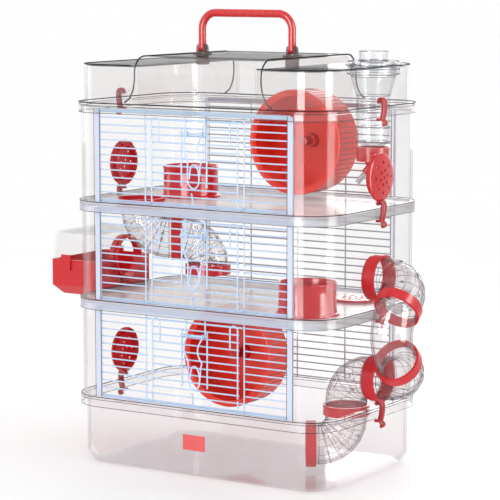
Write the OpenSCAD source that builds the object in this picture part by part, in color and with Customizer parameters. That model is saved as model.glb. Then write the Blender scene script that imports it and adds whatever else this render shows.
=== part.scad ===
// Three-storey hamster cage: clear tray and hood, clear wrap-round end walls,
// coated wire fronts and backs, two floors, wheels, bowls, tubes, nest box,
// drinking bottle and carrying handle.
// Frame: origin at the centre of the tray's underside, X to the right,
// Y to the back (the doors are at the front), Z up. Millimetres.

/* [Body] */
// Width over the rims
body_w = 400; // [396:1:404]
// Depth over the rims
body_d = 270; // [268:1:272]
// Corner radius of the rims
rim_r = 50; // [48:1:52]
// Height of the tray
tray_h = 92; // [92:1:92]
// Height of one storey
storey_h = 130; // [130:1:130]
// Height of a rim band
band_h = 13; // [12:0.5:13]
// Thickness of the clear end walls
wall_t = 2.5; // [2:0.1:2.8]

/* [Hood] */
// Top of the two end boxes of the hood
hood_end_z = 532; // [532:1:532]
// Top of the raised middle of the hood
hood_mid_z = 543; // [543:1:543]
// Half width of the raised middle
hood_mid_x = 97; // [97:1:97]

/* [Wire] */
// Thickness of the grille wires
wire_d = 2; // [1.8:0.1:2.2]
// Spacing of the grille wires
pitch = 9.8; // [9.8:0.1:9.8]

/* [Tubes] */
// Outer diameter of a tube
tube_od = 54; // [53:0.5:54]
// Bend radius of an elbow
bend_r = 36; // [35:0.5:36]
// Outer diameter of a connector ring
ring_od = 61; // [60:0.5:61.5]
// Length of a connector ring
ring_l = 13; // [12:0.5:13]

/* [Fittings] */
// Diameter of an exercise wheel
wheel_d = 139; // [137:1:139]
// Depth of an exercise wheel
wheel_w = 50; // [48:1:50]
// Diameter of a feeding bowl
bowl_d = 76; // [72:1:76]
// Thickness of the handle bar
handle_d = 10.5; // [10:0.5:10.5]

/* [Hidden] */
hw = body_w/2;
hd = body_d/2;
B = [tray_h, tray_h+storey_h, tray_h+2*storey_h];      // storey bases
T = tray_h+3*storey_h;                                  // underside level of the hood body
RIMS = [tray_h, tray_h+storey_h, tray_h+2*storey_h, T]; // tops of the four rims
sx = hw-3.4; sd = hd-3.4; sr = rim_r-3.4;               // outside of the end walls
post_x = hw-rim_r;                                      // where the end walls meet the grilles
port_z = 40;                                            // centre of a wall port above its storey
port_d = 58.4;
gy = -(hd-5);                                           // plane of the front wires
hz = 112;                                               // door hinge wire above the storey base
ly = gy-5.2;                                            // plane of the latch wire
lz = 96;                                                // latch pivot bar above the storey base
ring_id = tube_od+0.3;
re = bend_r+10;                                         // ring centre to ring centre along one leg
clip_px = hw+3.5;                                       // clip pin
clip_pz = 5.5;
wheel_u = [37, 60, 425.5];
wheel_l = [-72, 60, 125];
bottle = [149, 75];
nest_z0 = 212;
spout_a = atan2(-0.539, -0.842);

module rr(w, d, r) {
  for (i=[-1,1], j=[-1,1]) translate([i*(w-r), j*(d-r)]) circle(r=r, $fn=96);
  square([2*w, 2*(d-r)], center=true);
  square([2*(w-r), 2*d], center=true);
}
module slab(w, d, r, h) linear_extrude(h) rr(w, d, r);
module ringslab(w, d, r, t, h) difference() { slab(w, d, r, h); translate([0,0,-1]) slab(w-t, d-t, r-t, h+2); }
module tubex(od, id, x0, x1) translate([x0,0,0]) rotate([0,90,0]) difference() { cylinder(d=od, h=x1-x0, $fn=96); translate([0,0,-1]) cylinder(d=id, h=x1-x0+2, $fn=96); }
module rodx(d, x0, x1, y, z, fn=8) translate([x0,y,z]) rotate([0,90,0]) cylinder(d=d, h=x1-x0, $fn=fn);
module rody(d, x, y0, y1, z, fn=48) translate([x,y0,z]) rotate([-90,0,0]) cylinder(d=d, h=y1-y0, $fn=fn);
module seg(p, q, y, d, fn=8) translate([p[0],y,p[1]]) rotate([0,atan2(q[0]-p[0],q[1]-p[1]),0]) cylinder(d=d, h=norm(q-p), $fn=fn);
module wire(pts, y, d, fn=8) { for (i=[0:len(pts)-2]) seg(pts[i], pts[i+1], y, d, fn); }

// ---------- clear structure ----------
module tray() color([0.95,0.93,0.94,0.35]) {
  difference() {
    union() {
      hull() {
        translate([0,0,14]) slab(hw-8, hd-8, rim_r-8, tray_h-14);
        slab(hw-18, hd-18, rim_r-18, 1);
      }
      translate([0,0,tray_h-3]) slab(hw, hd, rim_r, 3);
      translate([0,0,tray_h-band_h]) ringslab(hw, hd, rim_r, 3, band_h-1);
    }
    hull() {
      translate([0,0,15]) slab(hw-10.5, hd-10.5, rim_r-10.5, tray_h);
      translate([0,0,2.6]) slab(hw-20, hd-20, rim_r-20, 1);
    }
  }
}

// one C-shaped end wall, drawn for the right side
module end_wall(b, port) {
  difference() {
    union() {
      translate([0,0,b+0.05]) linear_extrude(125-0.1) difference() {
        rr(sx, sd, sr);
        rr(sx-wall_t, sd-wall_t, sr-wall_t);
        translate([-hw-20, -hd-20]) square([hw+20+post_x+1, body_d+40]);
      }
      // stiffened edges that meet the grilles
      for (s=[-1,1]) translate([post_x+1, s>0 ? sd-7 : -sd, b+0.05]) cube([3.2, 7, 124.9]);
      // cheeks that carry the side clip's pin
      for (s=[-1,1]) translate([sx-1, s>0 ? 5 : -8, b+0.3]) cube([clip_px+3.6-sx, 3, 9.2]);
      rody(3, clip_px, -6, 6, b+clip_pz);
    }
    if (port) translate([sx-10,0,b+port_z]) rotate([0,90,0]) cylinder(d=port_d, h=20, $fn=96);
  }
}
module storey1_wall_left() color([0.96,0.95,0.96,0.3]) mirror([1,0,0]) end_wall(B[0], true);
module storey1_wall_right() color([0.96,0.95,0.96,0.3]) end_wall(B[0], true);
module storey2_wall_left() color([0.96,0.95,0.96,0.3]) mirror([1,0,0]) end_wall(B[1], true);
module storey2_wall_right() color([0.96,0.95,0.96,0.3]) end_wall(B[1], true);
module storey3_wall_left() color([0.96,0.95,0.96,0.3]) mirror([1,0,0]) end_wall(B[2], true);
module storey3_wall_right() color([0.96,0.95,0.96,0.3]) end_wall(B[2], true);

module floor_plate(zr, hole, hd_) {
  difference() {
    union() {
      translate([0,0,zr-band_h]) ringslab(hw, hd, rim_r, 3, band_h);
      translate([0,0,zr-5]) slab(hw-1.5, hd-1.5, rim_r-1.5, 2.5);
    }
    translate([hole[0],hole[1],zr-10]) cylinder(d=hd_, h=20, $fn=96);
  }
}
floor_hole_u = [-125, -64];
floor_hole_l = [129, 67];
module floor_lower() color([0.88,0.85,0.84,0.8]) floor_plate(B[1], floor_hole_l, 55);
module floor_upper() color([0.88,0.85,0.84,0.8]) floor_plate(B[2], floor_hole_u, port_d);

module hood_mid(grow) // raised middle with rounded front and back shoulders
  translate([-hood_mid_x-grow,0,0]) rotate([90,0,90]) linear_extrude(2*(hood_mid_x+grow)) {
    r = 22+grow;
    for (s=[-1,1]) translate([s*(118+grow-r), hood_mid_z+grow-r]) circle(r=r, $fn=96);
    translate([-(118+grow-r), T-1]) square([2*(118+grow-r), hood_mid_z+grow-T+1]);
    translate([-118-grow, T-1]) square([236+2*grow, hood_mid_z+grow-r-T+1]);
  }
module hood() color([0.93,0.92,0.93,0.35]) {
  difference() {
    union() {
      translate([0,0,T-band_h]) ringslab(hw, hd, rim_r, 3, band_h);
      translate([0,0,T-5]) slab(hw-1.5, hd-1.5, rim_r-1.5, 5);
      for (m=[0,1]) mirror([m,0,0]) intersection() {
        translate([0,0,T-1]) slab(hw-8, hd-8, rim_r-8, hood_end_z-T+1);
        translate([hood_mid_x-4, -hd, T-2]) cube([hw, body_d, 80]);
      }
      hood_mid(0);
      // cheeks and pins for the top pair of side clips
      for (m=[0,1]) mirror([m,0,0]) {
        for (s=[-1,1]) translate([hw-9, s>0 ? 5 : -8, T-0.5]) cube([clip_px+3.6-hw+9, 3, 10]);
        rody(3, clip_px, -6, 6, T+clip_pz);
      }
    }
    for (m=[0,1]) mirror([m,0,0]) intersection() {
      translate([0,0,T-6]) slab(hw-10.5, hd-10.5, rim_r-10.5, hood_end_z-T+6-2.5);
      translate([hood_mid_x-2, -hd, T-8]) cube([hw, body_d, 80]);
    }
    difference() {
      hood_mid(-2.4);
      for (m=[0,1]) mirror([m,0,0]) translate([hood_mid_x-4.5, -hd, hood_end_z-2.5]) cube([20, body_d, 30]);
    }
    translate([-hood_mid_x+4,-115.6,T-6]) cube([2*hood_mid_x-8, 231.2, 8]);
    // opening for the bottle and for the handle feet
    translate([bottle[0],bottle[1],T]) cylinder(d=70.4, h=80, $fn=96);
    for (s=[-1,1]) translate([s*70-7.2, -8.2, hood_mid_z-8]) cube([14.4, 16.4, 20]);
  }
}

// ---------- handle ----------
hpz = hood_mid_z+8;    // handle pivot height
module foot() difference() {
  union() {
    translate([-7,-8,hood_mid_z-14]) cube([14,16,14]);
    translate([-9.5,-10,hood_mid_z]) cube([19,20,1.5]);
    for (s=[-1,1]) translate([s>0 ? 4.2 : -8.4, -6, hood_mid_z]) cube([4.2,12,8]);
    for (s=[-1,1]) translate([s>0 ? 4.2 : -8.4, 0, hpz]) rotate([0,90,0]) cylinder(d=12, h=4.2, $fn=48);
    rodx(4, -6, 6, 0, hpz, 48);
  }
}
module handle_feet() color([0.7,0.12,0.15]) for (s=[-1,1]) translate([s*70,0,0]) foot();
module handle() color([0.8,0.2,0.22]) {
  zt = 603-handle_d/2; r = 21; x = 70;
  difference() {
    union() {
      for (s=[-1,1]) {
        translate([s*x,0,hpz]) cylinder(d=handle_d, h=zt-r-hpz, $fn=48);
        translate([s*x-3.9,0,hpz]) rotate([0,90,0]) cylinder(d=10, h=7.8, $fn=48);
      }
      translate([x-r,0,zt-r]) rotate([90,0,0]) rotate_extrude(angle=90, $fn=96) translate([r,0]) circle(d=handle_d, $fn=48);
      translate([-x+r,0,zt-r]) rotate([90,0,0]) rotate([0,0,90]) rotate_extrude(angle=90, $fn=96) translate([r,0]) circle(d=handle_d, $fn=48);
      translate([-x+r,0,zt]) rotate([0,90,0]) cylinder(d=handle_d, h=2*(x-r), $fn=48);
    }
    for (s=[-1,1]) {
      rodx(4.1, s*x-10, s*x+10, 0, hpz, 48);
      // flats beside the cheeks
      for (q=[-1,1]) translate([s*x + (q>0 ? 3.9 : -11.9), -10, hpz-12]) cube([8, 20, 20]);
    }
  }
}

// ---------- side clips ----------
module clip(zr) difference() {
  union() {
    rody(7, clip_px, -4.5, 4.5, zr+clip_pz);
    // outer strap
    translate([hw+0.5, -4.5, zr-band_h-4]) cube([3.6, 9, band_h+4+clip_pz]);
    // catch below the rim band
    translate([hw-2.6, -4.5, zr-band_h-4]) cube([4, 9, 3.5]);
    // thumb tab
    translate([hw+2.2, -4.5, zr-band_h-2.6]) rotate([0,50,0]) cube([11, 9, 3]);
    rody(5, hw+8.4, -4.5, 4.5, zr-band_h-9.6);
  }
  rody(3.1, clip_px, -10, 10, zr+clip_pz);
}
module clip_left_0() color([0.7,0.1,0.14]) mirror([1,0,0]) clip(RIMS[0]);
module clip_left_1() color([0.7,0.1,0.14]) mirror([1,0,0]) clip(RIMS[1]);
module clip_left_2() color([0.7,0.1,0.14]) mirror([1,0,0]) clip(RIMS[2]);
module clip_left_3() color([0.7,0.1,0.14]) mirror([1,0,0]) clip(RIMS[3]);
module clip_right_0() color([0.7,0.1,0.14]) clip(RIMS[0]);
module clip_right_1() color([0.7,0.1,0.14]) clip(RIMS[1]);
module clip_right_2() color([0.7,0.1,0.14]) clip(RIMS[2]);
module clip_right_3() color([0.7,0.1,0.14]) clip(RIMS[3]);

// ---------- wire fronts ----------
NB = 12;
module grille_front(b) {
  vx = [post_x-4, 76, 66];
  wy = gy+wire_d-0.3;
  for (s=[-1,1]) {
    for (k=[2:NB-1]) rodx(wire_d, s>0 ? 74.5 : -post_x+2.5, s>0 ? post_x-2.5 : -74.5, wy, b+4+k*pitch);
    seg([s*vx[0], b+1], [s*vx[0], b+121], gy, wire_d);
    // long wire with its hook under the door
    wire([[s*76, b+121],[s*76, b+7],[s*74.5,b+4],[s*71,b+2.6],[s*67.5,b+4],[s*66,b+7],[s*66,b+17]], gy, wire_d);
  }
  for (k=[0,1]) rodx(wire_d, -post_x+2.5, post_x-2.5, wy, b+4+k*pitch);
  // hinge wire and top rail
  rodx(wire_d+0.6, -77, 77, gy, b+hz, 24);
  translate([-post_x+2.5, gy-1.6, b+118.5]) cube([2*post_x-5, 3.2, 5.5]);
  translate([-post_x+2.5, gy+0.6, b+0.4]) cube([2*post_x-5, 3.4, 2.2]);
  // keeper hook below the latch
  seg([0, b+1.5], [0, b+19], gy+1.2, wire_d);
}
module grille_front_1() color([0.8,0.86,0.95]) grille_front(B[0]);
module grille_front_2() color([0.8,0.86,0.95]) grille_front(B[1]);
module grille_front_3() color([0.8,0.86,0.95]) grille_front(B[2]);

module door(b) difference() {
  union() {
    for (k=[2:NB-2]) rodx(wire_d, -67, 67, gy+wire_d-0.3, b+4+k*pitch);
    for (s=[-1,1]) {
      wire([[s*66, b+19.5],[s*66, b+hz]], gy, wire_d);
      wire([[s*54.5, b+84],[s*54.5, b+hz]], gy, wire_d);
      // hinge eyes
      rodx(5.4, s>0 ? 53 : -67.5, s>0 ? 67.5 : -53, gy, b+hz, 48);
      // guard wires beside the latch
      seg([s*19.5, b+28], [s*19.5, b+hz-9], gy, wire_d);
      // arms that carry the latch bar
      rody(wire_d, s*17, ly, gy+0.3, b+lz, 8);
    }
    rodx(2.6, -18, 18, ly, b+lz, 48);
    rodx(wire_d, -20.5, 20.5, gy, b+lz, 8);
  }
  rodx(2.9, -80, 80, gy, b+hz, 48);
}
module door_1() color([0.8,0.86,0.95]) door(B[0]);
module door_2() color([0.8,0.86,0.95]) door(B[1]);
module door_3() color([0.8,0.86,0.95]) door(B[2]);

module latch(b) difference() {
  pts = [[-10.5,b+lz],[-15.5,b+82],[-10,b+66],[-10,b+31],[10,b+31],[10,b+66],[5,b+80],[10.5,b+lz]];
  loop = [[-5,b+31],[-5,b+58],[7,b+58],[7,b+50]];
  union() {
    rodx(5, -13, -8, ly, b+lz, 48);
    rodx(5, 8, 13, ly, b+lz, 48);
    wire(pts, ly, wire_d, 24);
    wire(loop, ly, wire_d, 24);
    for (k=[1:6]) translate([pts[k][0],ly,pts[k][1]]) sphere(d=wire_d+0.1, $fn=24);
    for (k=[1:3]) translate([loop[k][0],ly,loop[k][1]]) sphere(d=wire_d+0.1, $fn=24);
  }
  rodx(2.8, -30, 30, ly, b+lz, 48);
}
module latch_1() color([0.8,0.86,0.95]) latch(B[0]);
module latch_2() color([0.8,0.86,0.95]) latch(B[1]);
module latch_3() color([0.8,0.86,0.95]) latch(B[2]);

module grille_back(b) {
  for (k=[0:NB-1]) rodx(wire_d, -post_x+2.5, post_x-2.5, -gy-wire_d+0.3, b+4+k*pitch);
  for (x=[-post_x+4, -76, 0, 76, post_x-4]) seg([x, b+1], [x, b+121], -gy, wire_d);
  translate([-post_x+2.5, -gy-1.6, b+118.5]) cube([2*post_x-5, 3.2, 5.5]);
}
module grilles_back() color([0.8,0.86,0.95]) for (b=B) grille_back(b);

// ---------- wheels ----------
module wheel(c) translate(c) rotate([-90,0,0]) difference() {
  union() {
    difference() { cylinder(d=wheel_d, h=wheel_w, $fn=128); translate([0,0,-1]) cylinder(d=wheel_d-6, h=wheel_w-1.5, $fn=128); }
    translate([0,0,wheel_w-12]) cylinder(d=16, h=14, $fn=48);
    difference() { cylinder(d=wheel_d-4, h=3, $fn=128); translate([0,0,-1]) cylinder(d=wheel_d-16, h=5, $fn=128); }
  }
  translate([0,0,wheel_w-9]) cylinder(d=8.1, h=30, $fn=48);
}
module wheel_upper() color([0.85,0.18,0.12]) wheel(wheel_u);
module wheel_lower() color([0.85,0.18,0.12]) wheel(wheel_l);
module wheel_bracket(c) {
  y0 = wheel_w+60+2.6;
  difference() {
    translate([c[0]-11, y0, c[2]-22]) cube([22, -gy-wire_d-1-y0, 44]);
    translate([c[0]-8, y0+3, c[2]-30]) cube([16, 5, 60]);
  }
  rody(8, c[0], 60+wheel_w-8, y0+2, c[2]);
}
module wheel_brackets() color([0.9,0.9,0.92]) { wheel_bracket(wheel_u); wheel_bracket(wheel_l); }

// ---------- bowls ----------
module bowl(x, y, z) translate([x,y,z+0.2]) difference() {
  union() { cylinder(d=bowl_d, h=42, $fn=96); cylinder(d=bowl_d+6, h=3, $fn=96); }
  translate([0,0,6]) cylinder(d=bowl_d-5, h=60, $fn=96);
}
module bowl_upper() color([0.8,0.15,0.18]) bowl(-99, 14, B[2]-2.5);
module bowl_middle() color([0.8,0.15,0.18]) bowl(139, -74, B[1]-2.5);

// ---------- plugs, collars, rings ----------
module plug(b) translate([sx, 0, b+port_z]) rotate([0,90,0]) difference() {
  union() { translate([0,0,0.1]) cylinder(d=62, h=3, $fn=96); translate([0,0,-8]) cylinder(d=58, h=9, $fn=96); }
  translate([0,0,-9]) cylinder(d=54, h=9.5, $fn=96);
  for (a=[0:45:315]) rotate([0,0,a]) translate([19,0,-1]) cylinder(d=5.5, h=10, $fn=24);
  for (a=[0:60:300]) rotate([0,0,a]) translate([9.5,0,-1]) cylinder(d=5.5, h=10, $fn=24);
}
module wall_plugs() color([0.78,0.17,0.2]) { plug(B[2]); mirror([1,0,0]) plug(B[2]); mirror([1,0,0]) plug(B[0]); }
module floor_plug() color([0.78,0.17,0.2]) translate([floor_hole_l[0], floor_hole_l[1], B[1]-2.5]) difference() {
  union() { translate([0,0,0.1]) cylinder(d=60, h=3, $fn=96); translate([0,0,-6]) cylinder(d=54.6, h=7, $fn=96); }
  translate([0,0,-7]) cylinder(d=50, h=7.5, $fn=96);
  for (a=[0:45:315]) rotate([0,0,a]) translate([18,0,-1]) cylinder(d=5.5, h=10, $fn=24);
  for (a=[0:60:300]) rotate([0,0,a]) translate([9,0,-1]) cylinder(d=5.5, h=10, $fn=24);
}
module collar(b, xo) { // flanged sleeve through the wall
  translate([0,0,b+port_z]) { tubex(ring_od, ring_id, sx+0.1, sx+0.1+xo); tubex(58, ring_id, sx-5, sx+1); }
}
module wall_collars() color([0.78,0.17,0.2]) { collar(B[1], ring_l); collar(B[0], ring_l); mirror([1,0,0]) collar(B[1], 8); }

module dirs(o, d1, d2) { // local X along d1, local Y along d2
  n = cross(d1, d2);
  multmatrix([[d1[0],d2[0],n[0],o[0]],[d1[1],d2[1],n[1],o[1]],[d1[2],d2[2],n[2],o[2]],[0,0,0,1]]) children();
}
// elbow from the centre of one ring to the centre of the next
module elbow(o, d1, d2, c1, c2, r=bend_r) dirs(o, d1, d2) {
  g = 0.25;
  tubex(tube_od, tube_od-4.2, g, c1+0.5);
  translate([c1,r,0]) rotate([0,0,-90]) rotate_extrude(angle=90, $fn=96) translate([r,0]) difference() { circle(d=tube_od-0.6, $fn=96); circle(d=tube_od-4.6, $fn=96); }
  translate([c1+r,r,0]) rotate([0,0,90]) tubex(tube_od, tube_od-4.2, -0.5, c2-g);
}
module ring_at(o, d1, d2) dirs(o, d1, d2) tubex(ring_od, ring_id, -ring_l/2, ring_l/2);

// outside run on the right: port, down and forward, port
tilt = 50;
x_port = sx+0.1+ring_l/2;
o1 = [x_port, 0, B[1]+port_z];
o4 = [x_port, 0, B[0]+port_z];
dA = [0, -sin(tilt), -cos(tilt)];
dB = [0, sin(tilt), -cos(tilt)];
o2 = o1+[re,0,0]+re*dA;
o3 = o4+[re,0,0]+re*[0,-sin(tilt),cos(tilt)];
mid_len = norm(o3-o2);
mid_r = mid_len/2/sin(tilt);
module outer_elbow_top() color([0.95,0.93,0.94,0.4]) elbow(o1, [1,0,0], dA, re-bend_r, re-bend_r);
module outer_elbow_bottom() color([0.95,0.93,0.94,0.4]) elbow(o4, [1,0,0], -dB, re-bend_r, re-bend_r);
module outer_rings() color([0.78,0.17,0.2]) { ring_at(o2, dA, [1,0,0]); ring_at(o3, dB, [1,0,0]); }
module outer_elbow_middle() color([0.95,0.93,0.94,0.4])
  dirs([o2[0], o2[1]+mid_r*cos(tilt), (o2[2]+o3[2])/2], [0,-1,0], [0,0,1]) rotate([0,0,-tilt+0.3])
    rotate_extrude(angle=2*tilt-0.6, $fn=128) translate([mid_r,0]) difference() { circle(d=tube_od-1.2, $fn=96); circle(d=tube_od-5.2, $fn=96); }

// run inside the bottom storey, from the wall down into the tray
o5 = [154, 0, B[0]+port_z-re];
module tray_elbow_top() color([0.95,0.93,0.94,0.4]) elbow([sx+0.1, 0, B[0]+port_z], [-1,0,0], [0,0,-1], sx+0.1-154-bend_r, re-bend_r);
module tray_ring() color([0.78,0.17,0.2]) ring_at(o5, [0,0,-1], [1,0,0]);
hdg = [-0.842, -0.5395, 0]/norm([-0.842, -0.5395, 0]);
o6 = o5+[0,0,-re]+re*hdg;
module tray_elbow_bottom() color([0.95,0.93,0.94,0.4]) elbow(o5, [0,0,-1], hdg, re-bend_r, re-bend_r);
module tray_end_ring() color([0.78,0.17,0.2]) ring_at(o6, hdg, [0,0,1]);

// run below the upper floor
oa = [floor_hole_u[0], floor_hole_u[1], B[2]-6];
ob = oa+[0,0,-re]+re*(-hdg);
rb2 = 42;
oc = ob+rb2*(-hdg)+[0,0,-rb2];
module floor_ring() color([0.78,0.17,0.2]) translate([floor_hole_u[0], floor_hole_u[1], 0]) difference() {
  union() { translate([0,0,B[2]-2.4]) cylinder(d=ring_od+1, h=4, $fn=96); translate([0,0,B[2]-14]) cylinder(d=58, h=14, $fn=96); }
  translate([0,0,B[2]-20]) cylinder(d=ring_id, h=40, $fn=96);
}
module inner_elbow_top() color([0.95,0.93,0.94,0.4]) elbow(oa, [0,0,-1], -hdg, re-bend_r, re-bend_r);
module inner_ring() color([0.78,0.17,0.2]) ring_at(ob, hdg, [0,0,1]);
module inner_elbow_bottom() color([0.95,0.93,0.94,0.4]) elbow(ob, -hdg, [0,0,-1], rb2-bend_r, rb2-bend_r);
module inner_end_ring() color([0.78,0.17,0.2]) ring_at(oc, [0,0,-1], [1,0,0]);

// ---------- nest box ----------
nx0 = -279; nx1 = -(sx+4.6); ny = 60; nzs = 260;
module nest_base() color([0.8,0.16,0.2]) difference() {
  union() {
    hull() {
      translate([nx0, -ny, nest_z0+12]) cube([nx1-nx0, 2*ny, nzs-nest_z0-12]);
      translate([nx0+12, -ny+10, nest_z0]) cube([nx1-nx0-12, 2*ny-20, 1]);
    }
    // snap tongues
    for (s=[-1,1]) translate([-262, s>0 ? ny-0.1 : -ny-2.9, nzs-14]) cube([15, 3, 21]);
  }
  hull() {
    translate([nx0+2, -ny+2, nest_z0+13]) cube([nx1-nx0-4, 2*ny-4, 60]);
    translate([nx0+13, -ny+11, nest_z0+2.2]) cube([nx1-nx0-15, 2*ny-22, 1]);
  }
  translate([nx1-6,0,B[1]+port_z]) rotate([0,90,0]) cylinder(d=ring_od+0.6, h=20, $fn=96);
  // slot for the side clip behind the box
  translate([-210.5,-9.6,nest_z0-5]) cube([20, 19.2, 26]);
  translate([-221,-6.5,nest_z0-5]) cube([20, 13, 20]);
}
module nest_lid() color([0.96,0.95,0.96,0.4]) difference() {
  hull() {
    translate([nx0+0.3, -ny+0.3, nzs+0.2]) cube([nx1-nx0-0.6, 2*ny-0.6, 1]);
    translate([nx0+4, -ny+4, 296]) cube([nx1-nx0-5, 2*ny-8, 2]);
  }
  hull() {
    translate([nx0+2.3, -ny+2.3, nzs-1]) cube([nx1-nx0-4.6, 2*ny-4.6, 1]);
    translate([nx0+6, -ny+6, 295.8]) cube([nx1-nx0-9, 2*ny-12, 0.2]);
  }
  translate([nx1-6,0,B[1]+port_z]) rotate([0,90,0]) cylinder(d=ring_od+0.6, h=20, $fn=96);
  translate([nx1-6, -(ring_od+0.6)/2, nzs-5]) cube([20, ring_od+0.6, 7]);
  for (k=[-2:2]) translate([-260, k*16-2, 290]) cube([36, 4, 20]);
}

// ---------- drinking bottle ----------
module bottle_holder() color([0.9,0.89,0.9,0.6]) translate([bottle[0],bottle[1],0]) difference() {
  union() { translate([0,0,hood_end_z-13]) cylinder(d=70, h=13, $fn=96); translate([0,0,hood_end_z+0.1]) cylinder(d=74, h=1.5, $fn=96); }
  translate([0,0,hood_end_z-20]) cylinder(d=61.5, h=40, $fn=96);
}
bz = 424;
module bottle_body() color([0.93,0.95,0.97,0.35]) translate([bottle[0],bottle[1],0]) rotate_extrude($fn=96)
  polygon([[9,bz],[9,bz-10],[11,bz-10],[11,bz],[22.5,bz+6],[22.5,bz+66],[30,bz+92],[30,bz+108],[28,bz+108],[28,bz+92.5],[20.5,bz+66.5],[20.5,bz+7.5],[9,bz+2]]);
module bottle_lid() color([0.9,0.9,0.92,0.5]) translate([bottle[0],bottle[1],0]) difference() {
  union() { translate([0,0,hood_end_z+1.7]) cylinder(d=68, h=2.3, $fn=96); translate([0,0,hood_end_z+2]) cylinder(d=39, h=15, $fn=96); translate([0,0,hood_end_z-8]) cylinder(d=55.8, h=10, $fn=96); }
  translate([0,0,hood_end_z-10]) cylinder(d=52, h=11.5, $fn=96);
  translate([0,0,hood_end_z-10]) cylinder(d=35, h=25, $fn=96);
}
module bottle_nozzle() color([0.8,0.15,0.18]) translate([bottle[0],bottle[1],0]) difference() {
  union() {
    translate([0,0,bz-19]) cylinder(d=44, h=18.6, $fn=96);
    translate([0,0,bz-24]) cylinder(d=20, h=6, $fn=48);
    rotate([0,0,spout_a]) translate([0,0,bz-22]) rotate([0,142,0]) cylinder(d=10, h=17, $fn=48);
  }
  translate([0,0,bz-16]) cylinder(d=41, h=30, $fn=96);
  rotate([0,0,spout_a]) translate([0,0,bz-22]) rotate([0,142,0]) translate([0,0,4]) cylinder(d=7.2, h=30, $fn=48);
}
module bottle_spout() color([0.75,0.76,0.78]) translate([bottle[0],bottle[1],0]) rotate([0,0,spout_a]) translate([0,0,bz-22]) rotate([0,142,0]) difference() {
  translate([0,0,4.2]) cylinder(d=7, h=29, $fn=48);
  translate([0,0,3]) cylinder(d=5, h=40, $fn=48);
}

// ---------- small items ----------
module front_label() color([0.85,0.3,0.3]) translate([-17, -(hd-8)-0.6, 36]) cube([34, 0.55, 20]);
module rim_blocks() color([0.95,0.95,0.97,0.5]) for (z=[B[0]-band_h+1, T-band_h+1]) difference() {
  translate([-10, -hd-3, z]) cube([20, 2.9, band_h-2]);
  translate([-6, -hd-5, z+4]) cube([12, 3, band_h-9]);
}

tray();
storey1_wall_left();
storey1_wall_right();
storey2_wall_left();
storey2_wall_right();
storey3_wall_left();
storey3_wall_right();
floor_lower();
floor_upper();
hood();
handle_feet();
handle();
clip_left_0();
clip_left_1();
clip_left_2();
clip_left_3();
clip_right_0();
clip_right_1();
clip_right_2();
clip_right_3();
grille_front_1();
grille_front_2();
grille_front_3();
door_1();
door_2();
door_3();
latch_1();
latch_2();
latch_3();
grilles_back();
wheel_upper();
wheel_lower();
wheel_brackets();
bowl_upper();
bowl_middle();
wall_plugs();
floor_plug();
floor_ring();
inner_elbow_top();
inner_ring();
inner_elbow_bottom();
inner_end_ring();
wall_collars();
outer_elbow_top();
outer_rings();
outer_elbow_middle();
outer_elbow_bottom();
tray_elbow_top();
tray_ring();
tray_elbow_bottom();
tray_end_ring();
nest_base();
nest_lid();
bottle_holder();
bottle_body();
bottle_lid();
bottle_nozzle();
bottle_spout();
front_label();
rim_blocks();
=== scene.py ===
"""Hamster cage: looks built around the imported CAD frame. Metres; X right, Y back, Z up."""
import math

import bpy
from mathutils import Vector, Matrix


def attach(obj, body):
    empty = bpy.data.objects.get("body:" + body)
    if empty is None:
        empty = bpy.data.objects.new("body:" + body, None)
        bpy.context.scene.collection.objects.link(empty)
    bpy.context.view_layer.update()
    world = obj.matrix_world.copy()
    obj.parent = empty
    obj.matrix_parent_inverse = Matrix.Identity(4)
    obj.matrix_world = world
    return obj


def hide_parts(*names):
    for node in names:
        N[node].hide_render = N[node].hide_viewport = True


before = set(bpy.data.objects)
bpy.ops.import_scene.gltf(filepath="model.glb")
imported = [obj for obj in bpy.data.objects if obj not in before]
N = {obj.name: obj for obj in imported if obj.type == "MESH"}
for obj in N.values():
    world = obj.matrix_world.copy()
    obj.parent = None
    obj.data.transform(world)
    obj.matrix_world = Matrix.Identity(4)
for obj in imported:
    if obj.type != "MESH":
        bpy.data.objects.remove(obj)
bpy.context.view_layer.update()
SCENE = bpy.context.scene
SCENE.view_settings.view_transform = "Standard"
SCENE.cycles.transparent_max_bounces = 64
MM = 0.001

# ------------------------------------------------------------------ sizes
HW, HD, RR = 200.0, 135.0, 50.0
B = [92.0, 222.0, 352.0]
T = 482.0
RIMS = [92.0, 222.0, 352.0, 482.0]
BAND = 13.0
SX, SD, SR = 196.6, 131.6, 46.6
PORT = 40.0
TUBE = 54.0
BEND = 36.0
RE = 46.0
GY = -130.0
LY = -135.2
HZ = 112.0
LZ = 96.0
PITCH = 9.8


# ------------------------------------------------------------------ materials
def srgb(r, g, b):
    f = lambda c: (c / 255 / 12.92) if c <= 10 else ((c / 255 + 0.055) / 1.055) ** 2.4
    return (f(r), f(g), f(b), 1.0)


def new_mat(name):
    m = bpy.data.materials.new(name)
    m.use_nodes = True
    t = m.node_tree
    t.nodes.clear()
    return m, t, t.nodes.new("ShaderNodeOutputMaterial")


def noise(t, scale, detail=3.0, rough=0.55):
    co = t.nodes.new("ShaderNodeTexCoord")
    n = t.nodes.new("ShaderNodeTexNoise")
    n.inputs["Scale"].default_value = scale
    n.inputs["Detail"].default_value = detail
    n.inputs["Roughness"].default_value = rough
    t.links.new(co.outputs["Object"], n.inputs["Vector"])
    return n


def ramp(t, src, stops):
    r = t.nodes.new("ShaderNodeValToRGB")
    e = r.color_ramp.elements
    while len(e) < len(stops):
        e.new(0.5)
    for i, (p, c) in enumerate(stops):
        e[i].position = p
        e[i].color = c if len(c) == 4 else (*c, 1.0)
    t.links.new(src, r.inputs["Fac"])
    return r


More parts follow.
